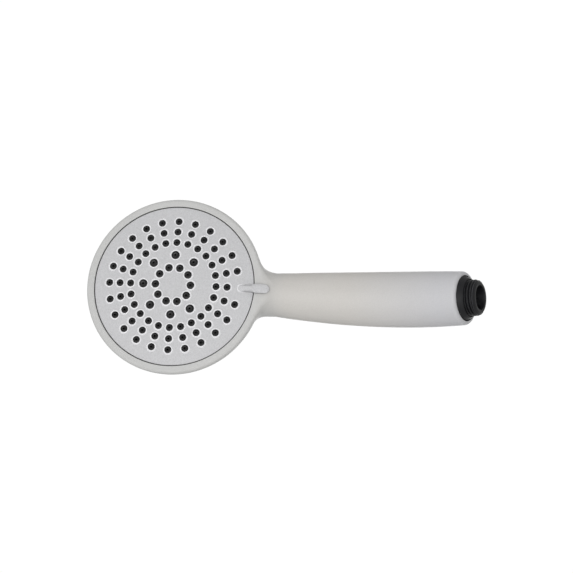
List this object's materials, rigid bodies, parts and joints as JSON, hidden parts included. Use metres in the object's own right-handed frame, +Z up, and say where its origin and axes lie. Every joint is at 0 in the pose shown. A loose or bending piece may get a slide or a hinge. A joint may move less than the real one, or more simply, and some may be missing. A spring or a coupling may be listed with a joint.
{
  "type": "handheld shower head",
  "caption": "Round handheld shower head with a turning spray face, black rubber nozzles, a curved hollow handle and a threaded hose inlet.",
  "frame": {"origin": "centre of the hose inlet's end face", "axes": "+Z up the handle along the inlet's axis, spray face towards -Y and tilted down, X across the head"},
  "size_m": [0.1054, 0.0991, 0.2183],
  "materials": {
    "shell_plastic": "satin light grey moulded plastic",
    "face_plastic": "fine-textured light grey moulded plastic",
    "black_plastic": "semi-gloss black moulded plastic",
    "nozzle_silicone": "matt black silicone",
    "valve_plastic": "natural white moulded plastic",
    "seal_rubber": "black rubber",
    "stainless_steel": "plain stainless steel"
  },
  "bodies": {
    "housing": {"body_shell": "shell_plastic", "waterway_tube": "black_plastic", "inlet_collar": "black_plastic", "inlet_screen": "stainless_steel", "flow_limiter_body": "valve_plastic", "flow_limiter_ring": "seal_rubber", "valve_manifold": "valve_plastic", "manifold_screw_left": "stainless_steel", "manifold_screw_top": "stainless_steel", "manifold_screw_right": "stainless_steel", "tube_o_ring_upper": "seal_rubber", "tube_o_ring_lower": "seal_rubber", "port_seal": "seal_rubber", "seal_carrier": "valve_plastic", "port_spring": "stainless_steel", "detent_spring": "stainless_steel", "pivot_washer": "stainless_steel", "pivot_screw": "stainless_steel"},
    "selector": {"spray_face": "face_plastic", "channel_plate": "valve_plastic", "chamber_seal_ring": "seal_rubber", "inner_nozzle_mat": "nozzle_silicone", "middle_nozzle_mat": "nozzle_silicone", "outer_nozzle_mat": "nozzle_silicone"},
    "detent": {"detent_plunger": "valve_plastic"}
  },
  "joints": [
    {"name": "spray_selector", "type": "hinge", "parent": "housing", "child": "selector", "pos_m": [0, -0.06593, 0.16722], "axis": [0, -0.9272, -0.3746], "range_deg": [-30, 30]},
    {"name": "detent_slide", "type": "slide", "parent": "housing", "child": "detent", "axis": [0, 0.9272, 0.3746], "range_m": [-0.0004, 0.0007], "stiffness_N_per_m": 400, "deforming": ["detent_spring"]}
  ]
}
